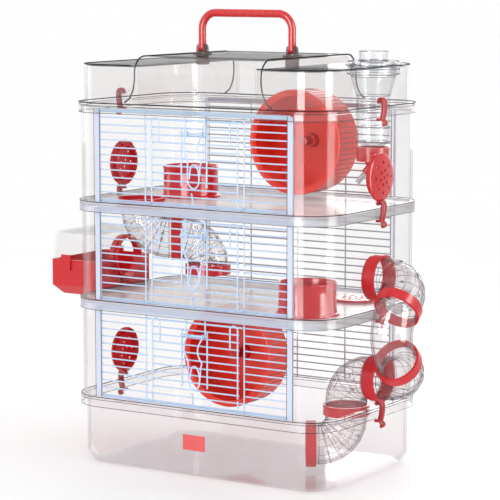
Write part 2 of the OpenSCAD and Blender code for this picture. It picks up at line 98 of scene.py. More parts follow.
def bump(t, src, strength, dist):
    b = t.nodes.new("ShaderNodeBump")
    b.inputs["Strength"].default_value = strength
    b.inputs["Distance"].default_value = dist
    t.links.new(src, b.inputs["Height"])
    return b


def plastic(name, col, rough=0.22, var=0.08, coat=0.35, wave=0.0004, sub=0.0, spec=0.5):
    """Glossy moulded plastic with slow colour variation, fine grain and a slightly wavy surface."""
    m, t, out = new_mat(name)
    p = t.nodes.new("ShaderNodeBsdfPrincipled")
    c = Vector(col[:3])
    n1 = noise(t, 14.0, 4.0)
    cr = ramp(t, n1.outputs["Fac"], [(0.25, tuple(c * (1 - var))), (0.75, tuple(Vector([min(1, v) for v in c * (1 + var)])))])
    t.links.new(cr.outputs["Color"], p.inputs["Base Color"])
    n2 = noise(t, 260.0, 3.0)
    mr = t.nodes.new("ShaderNodeMapRange")
    mr.inputs["To Min"].default_value = rough * 0.75
    mr.inputs["To Max"].default_value = rough * 1.35
    t.links.new(n2.outputs["Fac"], mr.inputs["Value"])
    t.links.new(mr.outputs["Result"], p.inputs["Roughness"])
    n3 = noise(t, 30.0, 2.0)
    b1 = bump(t, n3.outputs["Fac"], 0.35, wave)
    n4 = noise(t, 1500.0, 2.0)
    b2 = bump(t, n4.outputs["Fac"], 0.12, 0.00005)
    t.links.new(b1.outputs["Normal"], b2.inputs["Normal"])
    t.links.new(b2.outputs["Normal"], p.inputs["Normal"])
    p.inputs["Coat Weight"].default_value = coat
    p.inputs["Coat Roughness"].default_value = 0.06
    p.inputs["Specular IOR Level"].default_value = spec
    if sub:
        p.inputs["Subsurface Weight"].default_value = sub
        p.inputs["Subsurface Radius"].default_value = (0.006, 0.001, 0.001)
    t.links.new(p.outputs["BSDF"], out.inputs["Surface"])
    return m


def clear(name, tint, edge, haze, haze_col=(0.9, 0.9, 0.91), rough=0.05, gloss=0.02, flat_haze=None, wave=0.0006, edge_shade_at=0.86, gmax=0.6, lit_band_col=None, shaded_end_band_col=None):
    """Clear moulded plastic: thin shell, with painted dark edges (the see-through colour darkens towards grazing
    angles, standing in for refraction), a little haze and gloss.
    """
    m, t, out = new_mat(name)
    lw = t.nodes.new("ShaderNodeLayerWeight")
    lw.inputs["Blend"].default_value = 0.5
    n = noise(t, 18.0, 3.0)
    v = ramp(t, n.outputs["Fac"], [(0.2, tuple(Vector(tint) * 0.985)), (0.8, tuple(Vector([min(1.0, x * 1.008) for x in tint])))])
    # see-through colour darkens towards grazing angles: painted shade for the dark refraction lines at clear edges
    edge_shade_ramp = ramp(t, lw.outputs["Facing"], [(0.0, (1, 1, 1)), (edge_shade_at * 0.72, (0.985, 0.985, 0.985)), (edge_shade_at, (0.86, 0.86, 0.87)), (0.945, edge), (1.0, tuple(Vector(edge) * 0.25))])
    mul = t.nodes.new("ShaderNodeMix")
    mul.data_type = "RGBA"
    mul.blend_type = "MULTIPLY"
    mul.inputs["Factor"].default_value = 1.0
    t.links.new(v.outputs["Color"], mul.inputs["A"])
    t.links.new(edge_shade_ramp.outputs["Color"], mul.inputs["B"])
    tr = t.nodes.new("ShaderNodeBsdfTransparent")
    t.links.new(mul.outputs["Result"], tr.inputs["Color"])
    df = t.nodes.new("ShaderNodeBsdfDiffuse")
    df.inputs["Color"].default_value = (*haze_col, 1)
    n3 = noise(t, 25.0, 2.0)
    bp = bump(t, n3.outputs["Fac"], 0.4, wave)
    hz = t.nodes.new("ShaderNodeMixShader")
    if flat_haze is None:
        n5 = noise(t, 35.0, 4.0)
        hr = ramp(t, n5.outputs["Fac"], [(0.3, (haze * 0.8,) * 3), (0.7, (haze * 1.2,) * 3)])
        t.links.new(hr.outputs["Color"], hz.inputs["Fac"])
    else:
        # level faces (decks) are hazier than upright ones (bands)
        g = t.nodes.new("ShaderNodeNewGeometry")
        sp = t.nodes.new("ShaderNodeSeparateXYZ")
        t.links.new(g.outputs["Normal"], sp.inputs["Vector"])
        ab = t.nodes.new("ShaderNodeMath")
        ab.operation = "ABSOLUTE"
        t.links.new(sp.outputs["Z"], ab.inputs[0])
        hr = ramp(t, ab.outputs["Value"], [(0.3, (haze,) * 3), (0.9, (flat_haze,) * 3)])
        t.links.new(hr.outputs["Color"], hz.inputs["Fac"])
        # upright faces turned to ±X get a greyer haze colour than front and back faces: painted shade on the end bands
        if lit_band_col:
            ax = t.nodes.new("ShaderNodeMath")
            ax.operation = "ABSOLUTE"
            t.links.new(sp.outputs["X"], ax.inputs[0])
            end_band_shade_ramp = ramp(t, ax.outputs["Value"], [(0.25, lit_band_col), (0.85, shaded_end_band_col)])
            fz = ramp(t, ab.outputs["Value"], [(0.3, (0, 0, 0)), (0.9, (1, 1, 1))])
            mc = t.nodes.new("ShaderNodeMix")
            mc.data_type = "RGBA"
            t.links.new(fz.outputs["Color"], mc.inputs["Factor"])
            t.links.new(end_band_shade_ramp.outputs["Color"], mc.inputs["A"])
            mc.inputs["B"].default_value = (*haze_col, 1)
            t.links.new(mc.outputs["Result"], df.inputs["Color"])
    t.links.new(tr.outputs["BSDF"], hz.inputs[1])
    t.links.new(df.outputs["BSDF"], hz.inputs[2])
    gl = t.nodes.new("ShaderNodeBsdfGlossy")
    gl.inputs["Roughness"].default_value = rough
    gl.inputs["Color"].default_value = (1, 1, 1, 1)
    t.links.new(bp.outputs["Normal"], gl.inputs["Normal"])
    pw = t.nodes.new("ShaderNodeMath")
    pw.operation = "POWER"
    pw.inputs[1].default_value = 5.0
    t.links.new(lw.outputs["Facing"], pw.inputs[0])
    fr = t.nodes.new("ShaderNodeMapRange")
    fr.inputs["To Min"].default_value = gloss
    fr.inputs["To Max"].default_value = gmax
    t.links.new(pw.outputs["Value"], fr.inputs["Value"])
    mx = t.nodes.new("ShaderNodeMixShader")
    t.links.new(fr.outputs["Result"], mx.inputs["Fac"])
    t.links.new(hz.outputs["Shader"], mx.inputs[1])
    t.links.new(gl.outputs["BSDF"], mx.inputs[2])
    t.links.new(mx.outputs["Shader"], out.inputs["Surface"])
    return m


M_RED = plastic("red_plastic", srgb(208, 38, 42), 0.24, 0.07, 0.15, spec=0.3)
M_RING = plastic("ring_red", srgb(204, 36, 44), 0.22, 0.07, 0.15, spec=0.3)
M_WHEEL = plastic("wheel_red", srgb(238, 58, 40), 0.2, 0.05, 0.12, spec=0.3)
# the hub is a darker copy of the wheel red: painted shade for the hub sitting in the wheel's recess
M_HUB_SHADED = plastic("hub_red_painted_shade", srgb(168, 14, 10), 0.3, 0.06, 0.2)
M_CLIP = plastic("clip_red", srgb(174, 14, 22), 0.2, 0.08, 0.2, spec=0.3)
M_HANDLE = plastic("handle_red", srgb(208, 36, 40), 0.26, 0.06, 0.25, spec=0.35)
M_NEST = plastic("nest_red", srgb(206, 32, 38), 0.2, 0.07, 0.2, spec=0.35)
M_BOWL = plastic("bowl_red", srgb(206, 34, 40), 0.18, 0.06, 0.25, spec=0.35)
M_WIRE = plastic("coated_wire", srgb(190, 214, 241), 0.3, 0.05, 0.25, wave=0.0001)
M_STEEL = plastic("spout_steel", srgb(185, 187, 192), 0.2, 0.1, 0.2)
M_LABEL = plastic("blank_label", srgb(226, 84, 84), 0.35, 0.1, 0.2)
M_WHITE = plastic("white_plastic", srgb(232, 233, 238), 0.3, 0.04, 0.3)
M_CLEAR = clear("clear_walls", (0.986, 0.981, 0.982), (0.22, 0.21, 0.23), 0.005, gloss=0.009)
M_TRAY = clear("clear_tray", (0.982, 0.972, 0.974), (0.28, 0.26, 0.28), 0.012)
M_HOOD = clear("clear_hood", (0.972, 0.968, 0.966), (0.20, 0.20, 0.21), 0.012, (0.86, 0.86, 0.86), gmax=0.42)
M_TUBE = clear("clear_tube", (0.972, 0.962, 0.963), (0.20, 0.17, 0.18), 0.015, (0.88, 0.86, 0.87), edge_shade_at=0.7)
# the floor decks' bands facing ±X take a grey haze colour: painted shade on the end bands
M_FLOOR = clear("floor_deck", (0.975, 0.966, 0.96), (0.92, 0.91, 0.905), 0.45, (0.97, 0.935, 0.92), 0.14, flat_haze=0.36, gmax=0.4, edge_shade_at=0.93, lit_band_col=(0.70, 0.75, 0.88), shaded_end_band_col=(0.50, 0.51, 0.54))
M_BOTTLE = clear("clear_bottle", (0.965, 0.97, 0.975), (0.30, 0.31, 0.33), 0.02, edge_shade_at=0.75, gmax=0.35)
# dark clear materials for lines drawn as rods: painted shade standing in for refraction along clear edges and ribs; the
# soft one also draws real dark joint lines
M_EDGE_SHADE = clear("edge_shade_line", (0.16, 0.155, 0.16), (0.05, 0.05, 0.05), 0.02, (0.2, 0.2, 0.2), gmax=0.3)
M_SOFT_EDGE_SHADE_AND_JOINT = clear("soft_edge_shade_and_joint_line", (0.50, 0.49, 0.50), (0.2, 0.2, 0.21), 0.04, (0.5, 0.5, 0.5), gmax=0.4)
M_RIB_SHADE = clear("tube_rib_shade_line", (0.72, 0.70, 0.705), (0.34, 0.33, 0.34), 0.03, (0.4, 0.4, 0.4), gmax=0.4)
# rear grille wires use a greyer copy of the front wire colour: painted shade for the wires at the back
M_BACKWIRE_SHADED = plastic("coated_wire_rear_painted_shade", srgb(168, 171, 182), 0.35, 0.06, 0.2, wave=0.0001)
# wheel treads use a darker copy of the wheel red: painted shade lines along the ribs
M_TREAD_SHADED = plastic("wheel_tread_painted_shade", srgb(150, 34, 34), 0.3, 0.08, 0.2)
M_POST = plastic("post_pale", srgb(206, 215, 236), 0.3, 0.03, 0.4)
M_FOOT = clear("smoky_foot", (0.55, 0.50, 0.50), (0.25, 0.2, 0.2), 0.12, (0.5, 0.42, 0.42), gmax=0.4)

WEAR = {}
for _n in N:
    if _n.startswith("storey"):
        WEAR[_n] = M_CLEAR
    elif _n.startswith("clip"):
        WEAR[_n] = M_CLIP
    elif _n.startswith(("grille", "door", "latch")):
        WEAR[_n] = M_WIRE
    elif "elbow" in _n:
        WEAR[_n] = M_TUBE
    elif "ring" in _n or _n in ("wall_collars", "wall_plugs", "floor_plug"):
        WEAR[_n] = M_RING
WEAR.update({"grilles_back": M_BACKWIRE_SHADED, "tray": M_TRAY, "floor_lower": M_FLOOR, "floor_upper": M_FLOOR, "hood": M_HOOD, "handle_feet": M_FOOT,
             "handle": M_HANDLE, "wheel_upper": M_WHEEL, "wheel_lower": M_WHEEL, "wheel_brackets": M_WHITE,
             "bowl_upper": M_BOWL, "bowl_middle": M_BOWL, "nest_base": M_NEST, "nest_lid": M_CLEAR,
             "bottle_holder": M_BOTTLE, "bottle_body": M_BOTTLE, "bottle_lid": M_BOTTLE, "bottle_nozzle": M_RED,
             "bottle_spout": M_STEEL, "front_label": M_LABEL, "rim_blocks": M_CLEAR})
for _n, _m in WEAR.items():
    if _n in N:
        N[_n].data.materials.clear()
        N[_n].data.materials.append(_m)


# ------------------------------------------------------------------ mesh helpers
def put(name, verts, faces, mat, body="cage", slot=None, sharp=35, smooth=True):
    me = bpy.data.meshes.new(name)
    me.from_pydata([Vector(v) * MM for v in verts], [], faces)
    me.validate()
    me.update()
    me.materials.append(mat)
    o = bpy.data.objects.new(name, me)
    SCENE.collection.objects.link(o)
    if smooth:
        me.shade_smooth()
        me.set_sharp_from_angle(angle=math.radians(sharp))
    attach(o, body)
    return o


def grid_faces(rows, cols, close_r=False, close_c=True, base=0):
    f = []
    for i in range(rows if close_r else rows - 1):
        for j in range(cols if close_c else cols - 1):
            a = base + i * cols + j
            b = base + i * cols + (j + 1) % cols
            c = base + ((i + 1) % rows) * cols + (j + 1) % cols
            d = base + ((i + 1) % rows) * cols + j
            f.append((a, b, c, d))
    return f


def lathe(name, profile, centre, mat, axis="Z", segs=96, **kw):
    """Closed profile [(r, h), ...] turned round an axis through centre."""
    v = []
    n = len(profile)
    for i in range(segs):
        a = 2 * math.pi * i / segs
        for r, h in profile:
            p = {"Z": (r * math.cos(a), r * math.sin(a), h), "Y": (r * math.cos(a), h, r * math.sin(a)),
                 "X": (h, r * math.cos(a), r * math.sin(a))}[axis]
            v.append((centre[0] + p[0], centre[1] + p[1], centre[2] + p[2]))
    return put(name, v, grid_faces(segs, n, close_r=True), mat, **kw)


def smooth_path(pts, n=6):
    """Catmull-Rom through pts."""
    P = [Vector(p) for p in pts]
    P = [P[0] * 2 - P[1]] + P + [P[-1] * 2 - P[-2]]
    out = []
    for i in range(1, len(P) - 2):
        a, b, c, d = P[i - 1:i + 3]
        for k in range(n):
            t = k / n
            out.append(0.5 * ((2 * b) + (c - a) * t + (2 * a - 5 * b + 4 * c - d) * t * t + (3 * b - a - 3 * c + d) * t ** 3))
    out.append(P[-2])
    return out


def rod_data(path, r, segs=10, closed=False):
    """Round rod along a path: verts and faces, with closed ends."""
    P = [Vector(p) for p in path]
    m = len(P)
    rad = r if isinstance(r, (list, tuple)) else [r] * m
    v, f = [], []
    up = None
    for i in range(m):
        a = P[i - 1] if (i > 0 or closed) else P[i]
        b = P[(i + 1) % m] if (i < m - 1 or closed) else P[i]
        t = (b - a).normalized()
        if up is None:
            up = Vector((0, 0, 1)) if abs(t.z) < 0.9 else Vector((1, 0, 0))
        n1 = (up - t * up.dot(t)).normalized()
        up = n1
        n2 = t.cross(n1)
        for k in range(segs):
            q = 2 * math.pi * k / segs
            v.append(P[i] + (n1 * math.cos(q) + n2 * math.sin(q)) * rad[i])
    f = grid_faces(m, segs, close_r=closed)
    if not closed:
        f.append(tuple(reversed(range(segs))))
        f.append(tuple((m - 1) * segs + k for k in range(segs)))
    return v, f


def merge(parts):
    v, f = [], []
    for pv, pf in parts:
        b = len(v)
        v += [Vector(p) for p in pv]
        f += [tuple(i + b for i in q) for q in pf]
    return v, f


def rods(name, paths, r, mat, segs=10, closed=False, **kw):
    v, f = merge([rod_data(p, r, segs, closed) for p in paths])
    return put(name, v, f, mat, **kw)


def rrect(w, d, r, z, n=14):
    pts = []
    for cx, cy, a0 in ((w - r, d - r, 0), (-w + r, d - r, 90), (-w + r, -d + r, 180), (w - r, -d + r, 270)):
        for k in range(n + 1):
            a = math.radians(a0 + 90 * k / n)
            pts.append((cx + r * math.cos(a), cy + r * math.sin(a), z))
    return pts


# ------------------------------------------------------------------ rim edges: dark rods as painted shade lines along the clear rims and bands
for i, z in enumerate(RIMS):
    rods(f"rim_edge_top_{i}", [rrect(HW - 0.1, HD - 0.1, RR - 0.1, z)], 0.75 if i == 3 else 0.55, M_EDGE_SHADE, 8, True, slot="clear")
    rods(f"rim_edge_low_{i}", [rrect(HW - 0.1, HD - 0.1, RR - 0.1, z - BAND), rrect(HW - 0.4, HD - 0.4, RR - 0.4, z - 3.4)],
         0.45, M_SOFT_EDGE_SHADE_AND_JOINT, 8, True, slot="clear")

def arc_pts(cy, cz, r, a0, a1, x, n=10):
    return [(x, cy + r * math.cos(math.radians(a0 + (a1 - a0) * k / n)), cz + r * math.sin(math.radians(a0 + (a1 - a0) * k / n))) for k in range(n + 1)]


hood_lines, box_lines = [], []
for s_ in (-1, 1):
    x = s_ * 97
    front = smooth_path([(s_ * 113, -118.4, 483), (s_ * 105, -118.4, 489), (s_ * 99.5, -118.4, 500), (s_ * 97.2, -118.4, 512), (s_ * 97, -118.3, 521)], 5)
    top = arc_pts(-96.2, 520.8, 22.2, 180, 90, x) + arc_pts(96.2, 520.8, 22.2, 90, 0, x)
    back = [(p[0], -p[1], p[2]) for p in reversed(front)]
    hood_lines.append(front[:-1] + top + back[1:])
    loop = [(s_ * 96.5, -127, 531.8)]
    for k in range(13):
        a = math.radians(-90 + 90 * k / 12)
        loop.append((s_ * (150 + 42 * math.cos(a)), -85 + 42 * math.sin(a), 531.8))
    for k in range(13):
        a = math.radians(90 * k / 12)
        loop.append((s_ * (150 + 42 * math.cos(a)), 85 + 42 * math.sin(a), 531.8))
    loop.append((s_ * 96.5, 127, 531.8))
    box_lines.append(loop)
# dark rods along the hood's arch, box and middle edges: painted shade lines for the clear hood's edges
rods("hood_arch_edges", hood_lines, 1.05, M_EDGE_SHADE, 8, slot="hood_clear")
rods("hood_box_edges", box_lines, 0.9, M_EDGE_SHADE, 8, slot="hood_clear")
rods("hood_mid_edges", [[(-97, -96, 543), (97, -96, 543)], [(-97, 96, 543), (97, 96, 543)]], 0.55, M_SOFT_EDGE_SHADE_AND_JOINT, 8, slot="hood_clear")

# ------------------------------------------------------------------ side clips
def ribbon_data(path, ht, hw, y=0.0, segs=16):
    P = [Vector((p[0], 0, p[1])) for p in path]
    m = len(P)
    v = []
    for i in range(m):
        t = (P[min(i + 1, m - 1)] - P[max(i - 1, 0)]).normalized()
        nn = Vector((-t.z, 0, t.x))
        h = ht[i] if isinstance(ht, (list, tuple)) else ht
        for k in range(segs):
            a = 2 * math.pi * k / segs
            c, sn = math.cos(a), math.sin(a)
            cc = math.copysign(abs(c) ** 0.55, c)
            ss = math.copysign(abs(sn) ** 0.55, sn)
            v.append(P[i] + nn * (cc * h) + Vector((0, y + ss * hw, 0)))
    f = grid_faces(m, segs)
    f.append(tuple(reversed(range(segs))))
    f.append(tuple((m - 1) * segs + k for k in range(segs)))
    return v, f


for sd_name, sg in (("left", -1), ("right", 1)):
    for k, zr in enumerate(RIMS):
        main = [(q.x, q.y) for q in smooth_path([(0.0, 4.2, 0), (0.3, 7.4, 0), (3.1, 9.6, 0), (6.6, 8.2, 0), (7.8, 4.0, 0), (7.6, -3.0, 0), (6.4, -10.0, 0), (5.2, -15.0, 0)], 6)]
        hts = [1.8 + 1.1 * min(1, i / 10) for i in range(len(main))]
        fin = [(q.x, q.y) for q in smooth_path([(5.6, -12.5, 0), (6.2, -16.5, 0), (8.8, -19.3, 0), (8.6, -22.0, 0), (6.4, -22.8, 0)], 5)]
        inn = [(q.x, q.y) for q in smooth_path([(6.0, -12.0, 0), (4.0, -15.0, 0), (1.0, -16.2, 0), (-1.8, -16.0, 0)], 5)]
        parts = [ribbon_data(main, hts, 4.4), ribbon_data(fin, 2.2, 4.4), ribbon_data(inn, 1.8, 4.2)]
        v_, f_ = merge(parts)
        v_ = [(sg * (200 + q.x), q.y, zr + q.z) for q in v_]
        if sg < 0:
            f_ = [tuple(reversed(q)) for q in f_]
        node = f"clip_{sd_name}_{k}"
        o_ = put(node + "_hook", v_, f_, M_CLIP, body=node, slot="clip_red", sharp=50)
        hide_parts(node)

# ------------------------------------------------------------------ tubes
def vec(*a):
    return Vector(a)


def elbow_mesh(name, node, o, d1, d2, c1, c2, body="cage", r=BEND, ribs=7, od=TUBE):
    o, d1, d2 = Vector(o), Vector(d1).normalized(), Vector(d2).normalized()
    n = d1.cross(d2)
    g = 0.25
    st = [(o + d1 * g, d1, 0.0), (o + d1 * (g + 1.2), d1, 0.0)]
    if c1 > 3:
        st.append((o + d1 * (c1 - 1.5), d1, 0.0))
    cen = o + d1 * c1 + d2 * r
    marks = {}
    for k in range(ribs):
        a = 90.0 * k / (ribs - 1)
        for da, h in ((-1.5, 0.0), (-1.0, 0.9), (1.0, 0.9), (1.5, 0.0)):
            if 0 <= a + da <= 90:
                marks[round(a + da, 3)] = h
        if a < 89:
            for da in (4, 7.5, 11):
                if a + da < 90:
                    marks.setdefault(round(a + da, 3), 0.0)
    marks.setdefault(0.0, 0.9)
    marks.setdefault(90.0, 0.9)
    for a in sorted(marks):
        q = math.radians(a)
        st.append((cen + d1 * (r * math.sin(q)) - d2 * (r * math.cos(q)), d1 * math.cos(q) + d2 * math.sin(q), marks[a]))
    e0 = cen + d1 * r
    if c2 > 3:
        st.append((e0 + d2 * 1.5, d2, 0.0))
    st += [(e0 + d2 * (c2 - g - 1.2), d2, 0.0), (e0 + d2 * (c2 - g), d2, 0.0)]
    # dark lines seen through the tube at the rib rings and long ribs: painted shade standing in for refraction at the
    # ribs
    lines = []
    for k in range(ribs):
        q = math.radians(90.0 * k / (ribs - 1))
        p = cen + d1 * (r * math.sin(q)) - d2 * (r * math.cos(q))
        sd = n.cross(d1 * math.cos(q) + d2 * math.sin(q))
        lines.append([p + (sd * math.cos(w) + n * math.sin(w)) * (od / 2 + 0.25) for w in [2 * math.pi * m / 40 for m in range(40)]])
    rods(name + "_ribs", lines, 0.42, M_RIB_SHADE, 6, True, body=body, slot="tube_clear")
    lines = []
    for k in range(8):
        w = math.radians(45 * k + 22.5)
        ln = []
        for m in range(13):
            q = math.radians(90.0 * m / 12)
            p = cen + d1 * (r * math.sin(q)) - d2 * (r * math.cos(q))
            sd = n.cross(d1 * math.cos(q) + d2 * math.sin(q))
            ln.append(p + (sd * math.cos(w) + n * math.sin(w)) * (od / 2 + 0.1))
        lines.append(ln)
    rods(name + "_lines", lines, 0.36, M_RIB_SHADE, 6, False, body=body, slot="tube_clear")
    ths = []
    for k in range(12):
        a = 30.0 * k
        ths += [(a - 2.2, 0.0), (a - 1.3, 0.55), (a + 1.3, 0.55), (a + 2.2, 0.0), (a + 8, 0.0), (a + 15, 0.0), (a + 22, 0.0)]
    v = []
    rows = len(st)
    for surf in (0, 1):
        for (p, tdir, h) in (st if surf == 0 else list(reversed(st))):
            side = n.cross(tdir)
            for a, lh in ths:
                q = math.radians(a)
                hh = max(h, lh if (p - o).length > 3 else 0.0) if surf == 0 else 0.0
                rr_ = (od / 2 - 0.3 + hh) if surf == 0 else od / 2 - 2.2
                v.append(p + (side * math.cos(q) + n * math.sin(q)) * rr_)
    f = grid_faces(2 * rows, len(ths), close_r=True)
    ob = put(name, v, f, M_TUBE, body=body, slot="tube_clear", sharp=22)
    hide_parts(node)
    # small round vents with a moulded rim, drawn only as dark rings: painted shade for the holes, no hole is cut
    vents = []
    for a, sides in ((22.5, (60, -60, 180)), (52.5, (40, -40, 150, -150)), (75, (90, -90, 180))):
        q = math.radians(a)
        p = cen + d1 * (r * math.sin(q)) - d2 * (r * math.cos(q))
        tdir = d1 * math.cos(q) + d2 * math.sin(q)
        side = n.cross(tdir)
        for s in sides:
            w = math.radians(s + 15)
            out_ = -(side * math.cos(w)) + n * math.sin(w)
            cc = p + out_ * (od / 2 - 0.1)
            u = tdir
            wv = out_.cross(tdir)
            vents.append([cc + (u * math.cos(x) + wv * math.sin(x)) * 1.8 for x in [2 * math.pi * k / 16 for k in range(16)]])
    rods(name + "_vents", vents, 0.45, M_EDGE_SHADE, 6, True, body=body, slot="tube_clear")
    return ob


ti = math.radians(50)
O1 = vec(SX + 0.1 + 6.5, 0, B[1] + PORT)
O4 = vec(SX + 0.1 + 6.5, 0, B[0] + PORT)
DA = vec(0, -math.sin(ti), -math.cos(ti))
DC = vec(0, -math.sin(ti), math.cos(ti))
O2 = O1 + vec(RE, 0, 0) + DA * RE
O3 = O4 + vec(RE, 0, 0) + DC * RE
MID_R = (O3 - O2).length / 2 / math.sin(ti)
O5 = vec(154, 0, B[0] + PORT - RE)
HDG = vec(-0.842, -0.5395, 0).normalized()
DN = vec(0, 0, -1)
elbow_mesh("tube_outer_top", "outer_elbow_top", O1, (1, 0, 0), DA, 10, 10)
elbow_mesh("tube_outer_bottom", "outer_elbow_bottom", O4, (1, 0, 0), DC, 10, 10)
elbow_mesh("tube_tray_top", "tray_elbow_top", (SX + 0.1, 0, B[0] + PORT), (-1, 0, 0), DN, SX + 0.1 - 154 - BEND, 10)
elbow_mesh("tube_tray_bottom", "tray_elbow_bottom", O5, DN, HDG, 10, 10, body="tray_tube_end")
OA = vec(-125, -64, B[2] - 6)
OB = OA + DN * RE - HDG * RE
elbow_mesh("tube_inner_top", "inner_elbow_top", OA, DN, -HDG, 10, 10)
elbow_mesh("tube_inner_bottom", "inner_elbow_bottom", OB, -HDG, DN, 6, 6)

# smooth middle bend outside
cm = vec(O2.x, O2.y + MID_R * math.cos(ti), (O2.z + O3.z) / 2)
_v, _rows = [], []
_st = [(-50 + 0.3) + (100 - 0.6) * k / 40 for k in range(41)]
for surf in (0, 1):
    for a in (_st if surf == 0 else list(reversed(_st))):
        q = math.radians(a)
        rad = vec(0, -math.cos(q), -math.sin(q))
        p = cm + rad * MID_R
        for k in range(64):
            w = 2 * math.pi * k / 64
            _v.append(p + (rad * math.cos(w) + vec(1, 0, 0) * math.sin(w)) * ((TUBE / 2 - 0.3) if surf == 0 else TUBE / 2 - 2.4))
_o = put("tube_outer_middle", _v, grid_faces(82, 64, close_r=True), M_TUBE, slot="tube_clear")
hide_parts("outer_elbow_middle")

# ------------------------------------------------------------------ wheels
for body, c in (("wheel_upper", (37, 60, 425.5)), ("wheel_lower", (-72, 60, 125))):
    paths = []
    for k in range(60):
        a = 2 * math.pi * k / 60
        x, z = c[0] + 69.6 * math.cos(a), c[2] + 69.6 * math.sin(a)
        paths.append([(x, 62.5, z), (x, 107.5, z)])
    rods(body + "_treads", paths, 0.6, M_TREAD_SHADED, 6, body=body, slot="wheel_red")
    lathe(body + "_lip", [(69.4, 59.6), (70.3, 60.0), (70.6, 61.0), (70.3, 62.0), (68.8, 62.2), (66.8, 61.6), (66.6, 60.6), (67.6, 59.8)],
          (c[0], 0, c[2]), M_WHEEL, axis="Y", segs=128, body=body, slot="wheel_red")
    lathe(body + "_hub", [(0.01, 84.2), (4.6, 84.2), (5.4, 84.8), (5.8, 86.0), (6.4, 98), (7.4, 104), (9.5, 107.2), (10.5, 108.2), (0.01, 108.2)],
          (c[0], 0, c[2]), M_HUB_SHADED, axis="Y", segs=48, body=body, slot="wheel_red")
    lathe(body + "_hub_cap", [(0.01, 81.6), (4.0, 81.6), (5.6, 82.2), (6.3, 83.4), (6.3, 84.4), (5.6, 85.0), (0.01, 85.0)],
          (c[0], 0, c[2]), M_RING, axis="Y", segs=48, body=body, slot="wheel_red")

# ------------------------------------------------------------------ bowls
for body, c in (("bowl_upper", (-99, 14, B[2] - 2.5 + 0.2)), ("bowl_middle", (139, -74, B[1] - 2.5 + 0.2))):
    prof = [(0.01, 1.2), (34, 1.2), (36.5, 0.2), (40.5, 0.1), (41.2, 0.8), (41.2, 1.8), (40.6, 2.8), (38.6, 3.6), (37.9, 5.0), (37.6, 8),
            (37.2, 18), (37.0, 30), (37.1, 38.2), (37.9, 39.6), (38.2, 40.8), (37.8, 41.7), (36.9, 42.1), (36.0, 41.8), (35.3, 40.6),
            (34.6, 37), (33.6, 22), (31.5, 13), (27.5, 9), (20, 6.8), (0.01, 6.2)]
    o = lathe(body + "_dish", prof, c, M_BOWL, body=body, slot="red", segs=128)
    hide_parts(body)

# ------------------------------------------------------------------ wires
def semi(cx, cz, r, a0, a1, y, n=10):
    return [(cx + r * math.cos(math.radians(a0 + (a1 - a0) * k / n)), y, cz + r * math.sin(math.radians(a0 + (a1 - a0) * k / n))) for k in range(n + 1)]


